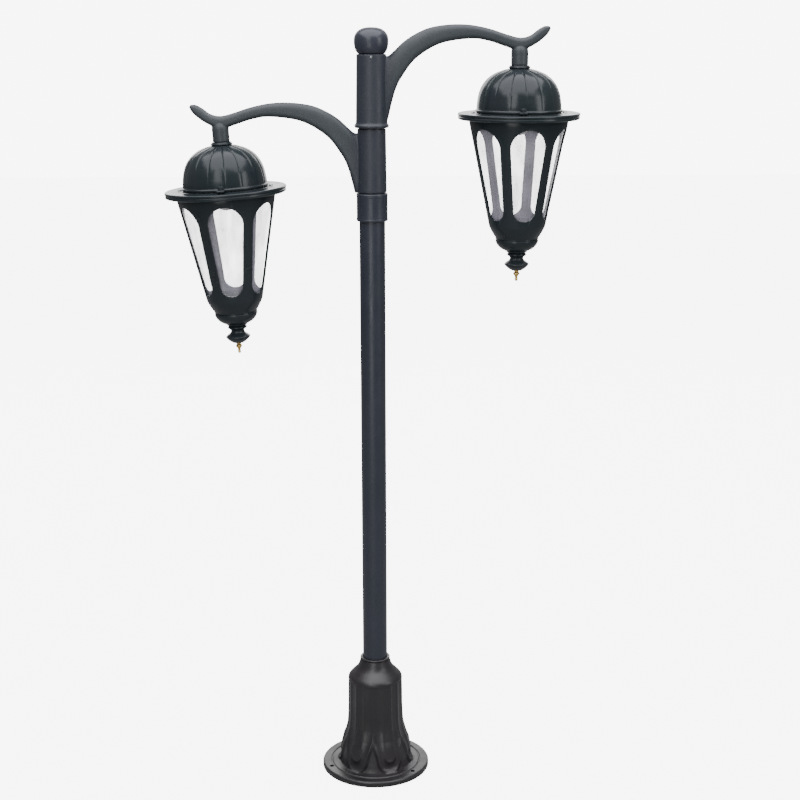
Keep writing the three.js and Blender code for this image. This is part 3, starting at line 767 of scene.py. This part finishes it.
def dome_piece():
    foot = [(91, 2.5), (99.6, 2.5), (100.3, 4), (100.1, 6), (98.2, 7.2)]
    outer = foot + dense(spline(DOME, 10), 2.2) + [(7, 98), (7, 94)]
    inner = [(radius - 6, height - 4) for radius, height in reversed(spline(DOME[:-1], 4))]
    dome = revolved("dome", outer + inner + [(91.5, 4)], 384, gored_outside, 50)
    ear = block("ear", (-9, -119, 2.6), (9, -94, 7.4), 1.8)
    return joined(dome, ear)


def gored_outside(radius, height, angle):
    outside = radius > dome_radius(height) - 2.5
    return gore_shape(radius, height, angle) if outside else (radius, height)


def dome_radius(height):
    for (r0, z0), (r1, z1) in zip(DOME, DOME[1:]):
        if z0 <= height <= z1:
            return blend_of(r0, r1, (height - z0) / (z1 - z0))
    return DOME[0][0] if height < DOME[0][1] else 0.0


def brim_piece():
    outline = [
        (88, -15), (136, -15), (138.4, -13.8), (139.6, -12.2), (139.6, -8.6), (138.6, -7.6), (138.6, -6.6),
        (140.5, -5.4), (140.5, -2.2), (139.2, -0.6), (136, -0.2), (130, -0.9), (106, -0.9), (104, 0), (88, 0),
    ]
    brim = revolved("brim", dense(eased(outline, 0.9, True, 3), 8), 192)
    hole = rod("hole", 3.6, -20, 5, 32)
    return cut(brim, placed(hole, Matrix.Translation((0, -LATCH_OUT * MM, 0))))


def cone_radius(height):
    return blend_of(CAGE_TOP_RADIUS, CAGE_FOOT_RADIUS, (height - CAGE_TOP) / (CAGE_CONE_FOOT - CAGE_TOP))


def window_half_width(height):
    radius = cone_radius(height)
    return radius * math.sin(math.pi / WINDOWS - POST_WIDTH / 2 / radius)


def window_cutter(turn):
    """A slab through one window: an arch above, a rounded foot below."""
    upper = window_half_width(WINDOW_TOP - 40)
    lower = window_half_width(WINDOW_FOOT + 28)
    outline = []
    for step in range(33):
        angle = math.pi * step / 32
        outline.append((upper * math.cos(angle), WINDOW_TOP - upper + upper * math.sin(angle)))
    for step in range(33):
        angle = math.pi + math.pi * step / 32
        outline.append((lower * math.cos(angle), WINDOW_FOOT + lower + lower * math.sin(angle)))
    bm = bmesh.new()
    skin(bm, [[(x, y, z) for x, z in outline] for y in (-40, -135)], close_ends=True)
    return placed(finished("window", bm), Matrix.Rotation(turn, 4, "Z"))


def cage_piece(turn):
    outer = [(CAGE_TOP_RADIUS, CAGE_TOP), (CAGE_FOOT_RADIUS, CAGE_CONE_FOOT)]
    foot = spline([(67, -252), (64.5, -262), (58, -275), (50.5, -287), (50, -290)], 6)
    inside = [
        (0, -281), (46, -279), (58, -264), (CAGE_FOOT_RADIUS - CAGE_WALL, CAGE_CONE_FOOT),
        (CAGE_TOP_RADIUS - CAGE_WALL, CAGE_TOP),
    ]
    outline = dense(outer, 12) + foot[1:] + [(0, -290)]
    cage = revolved("cage", inside + outline, 192)
    cutters = [window_cutter(turn + FULL_TURN * n / WINDOWS) for n in range(WINDOWS)]
    cut(cage, *cutters)
    return bevelled(cage, 1.3)


def glazing_piece():
    """The liner inside the cage: a thin cone, open at both ends."""
    foot, top = -250, -26
    foot_radius, top_radius = (cone_radius(height) - CAGE_WALL - 0.6 for height in (foot, top))
    outline = [
        (foot_radius - GLAZING_WALL, foot), (foot_radius, foot),
        (top_radius, top), (top_radius - GLAZING_WALL, top),
    ]
    return revolved("glazing", dense(outline + [outline[0]], 14)[:-1], 160)


def cup_piece():
    outline = [
        (0, -290.3), (48, -290.3), (49.8, -291.8), (50, -294.5), (49, -298.5), (46.5, -303.5), (42, -309),
        (37, -313.2), (30.5, -316.4), (24.5, -319.2), (23.5, -322), (0, -322),
    ]
    return revolved("bottom_cup", dense(eased(outline, 1.6), 5), 128)


def finial_piece():
    outline = [
        (0, -322.3), (18, -322.3), (20, -323.5), (22.4, -326), (22.4, -328.5), (20, -330.5), (16.5, -332.5),
        (15.5, -337), (18, -341), (24.5, -345.5), (28.5, -349), (28.5, -351), (25, -355.5), (18.5, -361),
        (12, -365), (0, -365),
    ]
    return revolved("finial", dense(eased(outline, 1.4), 4), 96)


def tip_piece():
    outline = [
        (0, -365.3), (6.2, -365.3), (6.2, -366.8), (4.6, -368), (5.4, -369.4), (7.4, -371.4), (7.6, -373.4),
        (6.2, -376), (4.0, -378.2), (3.2, -381), (3.0, -384), (3.9, -386.4), (3.4, -388.8), (1.8, -390.6),
        (0, -391),
    ]
    return revolved("brass_tip", dense(eased(outline, 0.7), 2), 48)


def collar_piece():
    outline = [
        (6.8, 98.3), (22, 98.3), (24.6, 99.3), (25, 101.2), (24.4, 102.8), (22.6, 103.8), (22, 105.7),
        (6.8, 105.7),
    ]
    return revolved("collar_ring", eased(outline, 0.6, True), 96)


def gasket_piece():
    return revolved("gasket", eased([(89, 0.3), (97, 0.3), (97, 2.2), (89, 2.2)], 0.5, True), 160)


def hinge_pin_piece():
    return placed(rod("hinge_pin", 2.4, -21, 21, 32, 0.6), along(X_AXIS, 0, HINGE_OUT, HINGE_UP))


def hinge_bracket_piece():
    bridge = block("hinge_bracket", (-19.5, 99.9, 2.7), (19.5, 102.3, 11.3), 0.5)
    parts = []
    for side in (-1, 1):
        barrel = placed(rod("barrel", 5.2, -5, 5, 40), along(X_AXIS, side * 14.5, HINGE_OUT, HINGE_UP))
        web = block("web", (side * 14.5 - 4.9, 100.6, 2.7), (side * 14.5 + 4.9, HINGE_OUT, 11.3), 0.5)
        parts += [web, barrel]
    bridge = joined(bridge, *parts)
    return cut(bridge, placed(rod("pin_hole", 2.7, -30, 30, 32), along(X_AXIS, 0, HINGE_OUT, HINGE_UP)))


def hinge_leaf_piece():
    leaf = placed(rod("hinge_leaf", 5.2, -9, 9, 40), along(X_AXIS, 0, HINGE_OUT, HINGE_UP))
    neck = block("neck", (-8.9, HINGE_OUT, 0.5), (8.9, HINGE_OUT + 8, 6.3), 0.5)
    foot = block("foot", (-8.9, HINGE_OUT - 2, 0.3), (8.9, HINGE_OUT + 18, 2.7), 0.6)
    leaf = joined(leaf, neck, foot)
    return cut(leaf, placed(rod("pin_hole", 2.7, -30, 30, 32), along(X_AXIS, 0, HINGE_OUT, HINGE_UP)))


def latch_piece():
    """A knurled thumb screw."""
    head = [(0, 7.8), (6.2, 7.8), (7, 8.6), (7, 14.6), (6.2, 15.6), (3, 16), (0, 16)]

    def knurl(radius, height, angle):
        rim = radius > 6.5
        return radius - (0.35 * abs(math.sin(15 * angle)) if rim else 0), height

    screw = revolved("latch_screw", dense(eased(head, 0.4), 2), 120, knurl, 50)
    shank = rod("shank", 2.6, -9, 9, 32)
    return placed(joined(screw, shank), Matrix.Translation((0, -LATCH_OUT * MM, 0)))


def lamp_holder_piece():
    outline = [
        (14, 30), (14, 8), (17, 8), (19.5, 12), (19.5, 24), (18.6, 25), (18.6, 27), (19.5, 28), (19.5, 40),
        (15, 50), (15, 60), (6.8, 60), (6.8, 30),
    ]
    return revolved("lamp_holder", eased(outline, 0.8, True), 72)


def bulb_piece():
    globe = [(0, -52), (12, -49.6), (22, -42.5), (28.5, -32), (30, -22), (28, -10), (21, 0), (13.6, 7)]
    cap = [(13.2, 8)] + [(13.2 - 0.8 * (n % 2), 9 + n) for n in range(16)] + [(10, 26.5), (4, 29), (0, 29.5)]
    return revolved("bulb", spline(globe, 6) + cap, 72, None, 60)


def cage_screw_piece(n):
    x = 105.5 * (1, -1)[n]
    outline = [(0, 0.3), (5, 0.3), (5, 1.4), (3.8, 2.7), (1.5, 3.0), (0, 3.0)]
    head = revolved(f"cage_screw_{n + 1}", eased(outline, 0.3), 48)
    slot_cut = block("slot", (-0.5, -6, 1.9), (0.5, 6, 4), 0.05)
    cut(head, slot_cut)
    return placed(head, Matrix.Translation((x * MM, 0, 0)))


def lantern_pieces(name):
    """Makes a whole lantern at the origin, brim at zero, and hangs each piece in its place."""
    lantern = LANTERNS[name]
    x, z = lantern["hang"]
    hang = Matrix.Translation((x * MM, 0, z * MM)) @ Matrix.Rotation(-lantern["lean"], 4, "Y")
    place = hang @ Matrix.Translation((0, 0, -HANG_HEIGHT * MM))
    made = {
        "dome": dome_piece(),
        "brim": brim_piece(),
        "cage": cage_piece(lantern["windows"]),
        "diffuser": glazing_piece(),
        "bottom_cup": cup_piece(),
        "finial": finial_piece(),
        "brass_tip": tip_piece(),
        "collar_ring": collar_piece(),
        "gasket": gasket_piece(),
        "hinge_bracket": hinge_bracket_piece(),
        "hinge_leaf": hinge_leaf_piece(),
        "hinge_pin": hinge_pin_piece(),
        "latch_screw": latch_piece(),
        "lamp_holder": lamp_holder_piece(),
        "bulb": bulb_piece(),
        "cage_screw_1": cage_screw_piece(0),
        "cage_screw_2": cage_screw_piece(1),
    }
    for part, piece in made.items():
        piece.name = f"{name}_{part}_fine"
        smoothed(piece, 50)
        stands_for(placed(piece, place), f"{name}_{part}")


# ---- the whole object ---------------------------------------------------------------------------

base_piece()
post_pieces()
screw_pieces()
for which in ("upper", "lower"):
    arm_piece(which)
    lantern_pieces(which)
for node, obj in frame["nodes"].items():
    if not obj.hide_render:
        dressed(obj, SLOT_OF[node])


# ---- camera, floor and light --------------------------------------------------------------------


CAMERA_PLACE = (0.0, -3.6533, 1.8715)
CAMERA_TURN = (0.0174, 0.247, -0.0023)
CAMERA_LENS = 70.83


def camera():
    """Looks along +Y, turned by a yaw to the right, a pitch downward and a roll, all in radians."""
    data = bpy.data.cameras.new("camera")
    data.sensor_width = 36.0
    data.lens = CAMERA_LENS
    obj = bpy.data.objects.new("camera", data)
    yaw, pitch, roll = CAMERA_TURN
    ahead = Vector((math.sin(yaw) * math.cos(pitch), math.cos(yaw) * math.cos(pitch), -math.sin(pitch)))
    obj.rotation_mode = "QUATERNION"
    aim = ahead.to_track_quat("-Z", "Y")
    obj.rotation_quaternion = aim @ Matrix.Rotation(roll, 3, "Z").to_quaternion()
    obj.location = CAMERA_PLACE
    data.clip_end = 60.0
    bpy.context.scene.collection.objects.link(obj)
    bpy.context.scene.camera = obj


# What the camera sees straight on is a bright backdrop; the light it gives the object is much weaker.
WORLD_LIGHT = 0.3
BACKDROP = 8.0
FLOOR_GLOW = 7.2


def softbox(name, place, aim, size, power, colour=(1.0, 1.0, 1.0)):
    """A rectangular light that faces a point, in metres and watts, and is not itself seen."""
    data = bpy.data.lights.new(name, "AREA")
    data.shape = "RECTANGLE"
    data.size, data.size_y = size
    data.energy = power
    data.color = colour
    obj = bpy.data.objects.new(name, data)
    obj.location = place
    obj.rotation_mode = "QUATERNION"
    obj.rotation_quaternion = (Vector(aim) - Vector(place)).to_track_quat("-Z", "Y")
    obj.visible_camera = False
    bpy.context.scene.collection.objects.link(obj)


def floor():
    bm = bmesh.new()
    bmesh.ops.create_grid(bm, x_segments=8, y_segments=8, size=14.0)
    obj = finished("floor", bm)
    ground = Graph("pale_floor")
    shade = ground.mix(ground.noise(1.2), (0.26, 0.26, 0.26), (0.29, 0.29, 0.29))
    ground.link(shade, ground.shader.inputs["Base Color"])
    ground.shader.inputs["Roughness"].default_value = 0.9
    ground.shader.inputs["Emission Color"].default_value = (1.0, 1.0, 1.0, 1.0)
    ground.link(seen_directly(ground.tree, 0.0, FLOOR_GLOW), ground.shader.inputs["Emission Strength"])
    obj.data.materials.append(ground.material)
    obj.location.z = -0.0006


def seen_directly(tree, otherwise, value):
    """One strength for what the camera sees straight on, and another for the light it gives."""
    path = tree.nodes.new("ShaderNodeLightPath")
    pick = tree.nodes.new("ShaderNodeMapRange")
    tree.links.new(path.outputs["Is Camera Ray"], pick.inputs["Value"])
    pick.inputs["To Min"].default_value = otherwise
    pick.inputs["To Max"].default_value = value
    return pick.outputs["Result"]


def world():
    made = bpy.data.worlds.new("studio")
    made.use_nodes = True
    background = made.node_tree.nodes["Background"]
    background.inputs["Color"].default_value = (1.0, 1.0, 1.0, 1.0)
    strength = seen_directly(made.node_tree, WORLD_LIGHT, BACKDROP)
    made.node_tree.links.new(strength, background.inputs["Strength"])
    bpy.context.scene.world = made


camera()
floor()
world()
softbox("key", (-1.2, -3.6, 2.9), (0, 0, 1.3), (1.6, 2.2), 46)
softbox("fill", (3.1, -2.0, 2.2), (0, 0, 1.2), (1.2, 2.2), 36)
softbox("low", (-0.8, -3.4, 0.7), (0, 0, 1.5), (1.4, 0.9), 16)
softbox("top", (0.0, -0.6, 3.8), (0, 0, 0), (5.0, 4.0), 270, (0.96, 0.95, 1.0))
softbox("back", (0.0, 4.2, 2.4), (0, 0, 0.2), (5.0, 2.8), 130)
